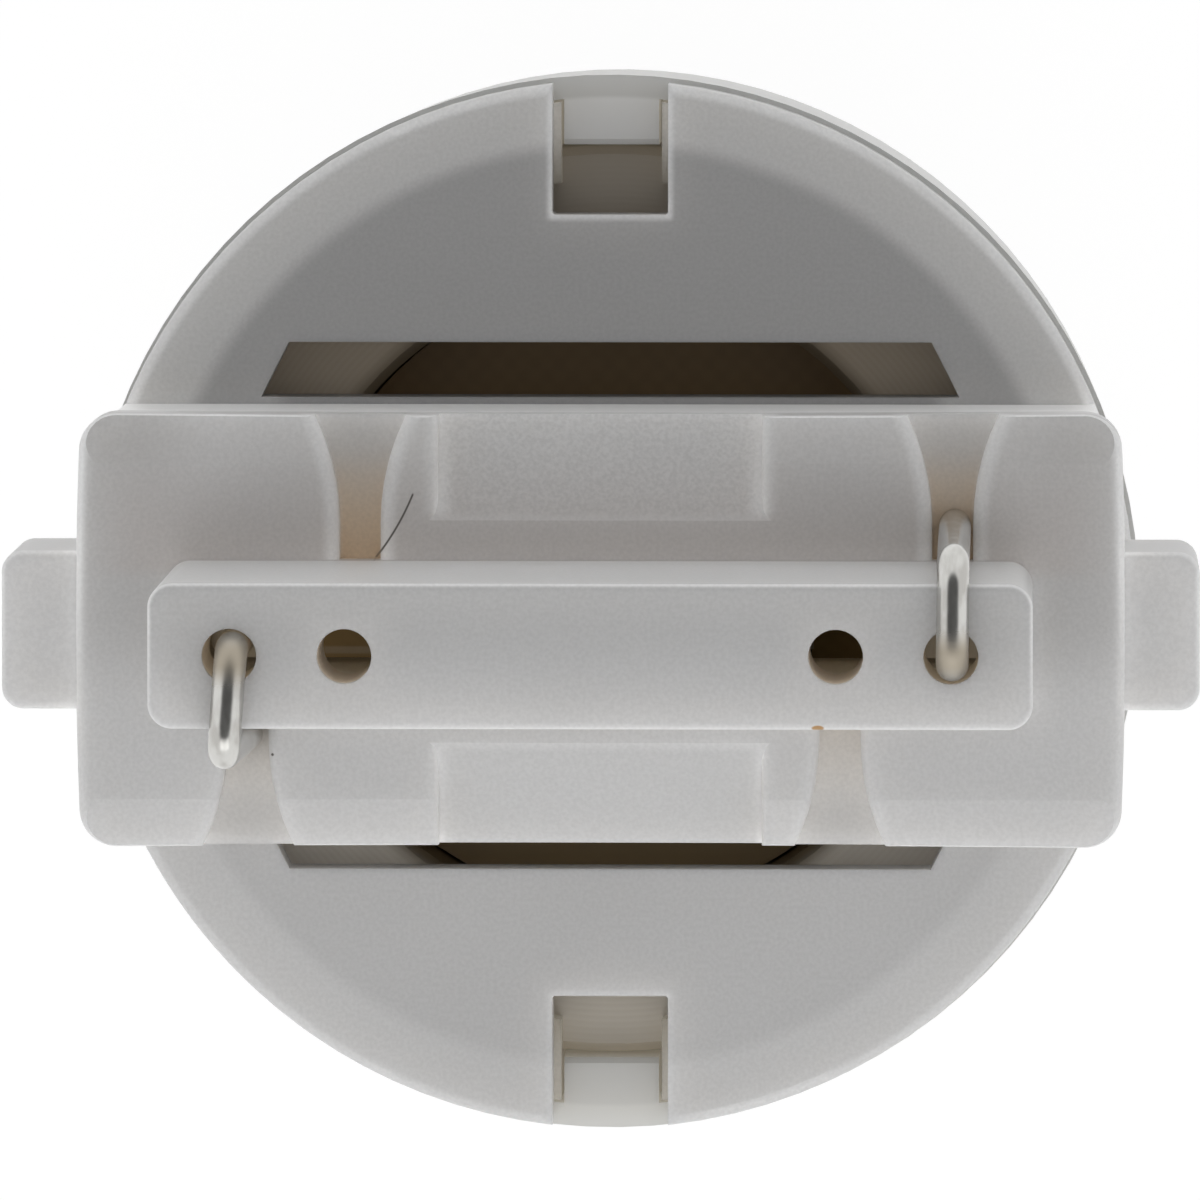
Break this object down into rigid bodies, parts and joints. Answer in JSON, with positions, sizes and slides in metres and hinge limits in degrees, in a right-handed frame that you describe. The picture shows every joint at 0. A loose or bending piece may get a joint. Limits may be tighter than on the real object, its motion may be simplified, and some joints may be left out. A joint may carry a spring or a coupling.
{
  "type": "led wedge bulb",
  "caption": "LED signal bulb with a white flat-blade wedge base, folded contact wires, flange disc with ears, and a milky stepped lens that stands on its flat end.",
  "frame": {"origin": "centre of the lens's flat end, which the bulb stands on", "axes": "+Z along the bulb's axis towards the blade's tip, +X along the blade's width, +Y across its thickness"},
  "size_m": [0.021, 0.019, 0.0431],
  "materials": {
    "base_plastic": "moulded white polyester, satin",
    "lens_plastic": "milky polycarbonate, satin",
    "tinned_wire": "tinned copper, bright",
    "heat_sink": "turned aluminium, dull",
    "led_board": "aluminium board with white solder mask",
    "driver_board": "glass-fibre board with dark solder mask",
    "black_moulding": "black epoxy moulding",
    "capacitor": "tan ceramic with tinned ends",
    "resistor": "black film on ceramic with tinned ends",
    "led_package": "white reflective moulding",
    "phosphor": "yellow phosphor in silicone"
  },
  "bodies": {
    "root": {"base": "base_plastic", "lens": "lens_plastic", "contact_wire_1": "tinned_wire", "contact_wire_2": "tinned_wire", "heat_sink": "heat_sink", "led_board": "led_board", "driver_board": "driver_board", "link_pin_1": "tinned_wire", "link_pin_2": "tinned_wire", "bridge_rectifier": "black_moulding", "current_regulator": "black_moulding", "input_capacitor": "capacitor", "output_capacitor": "capacitor", "sense_resistor_1": "resistor", "sense_resistor_2": "resistor", "led_package_1": "led_package", "led_phosphor_1": "phosphor", "led_package_2": "led_package", "led_phosphor_2": "phosphor", "led_package_3": "led_package", "led_phosphor_3": "phosphor", "led_package_4": "led_package", "led_phosphor_4": "phosphor", "led_package_5": "led_package", "led_phosphor_5": "phosphor", "led_package_6": "led_package", "led_phosphor_6": "phosphor"}
  },
  "joints": []
}
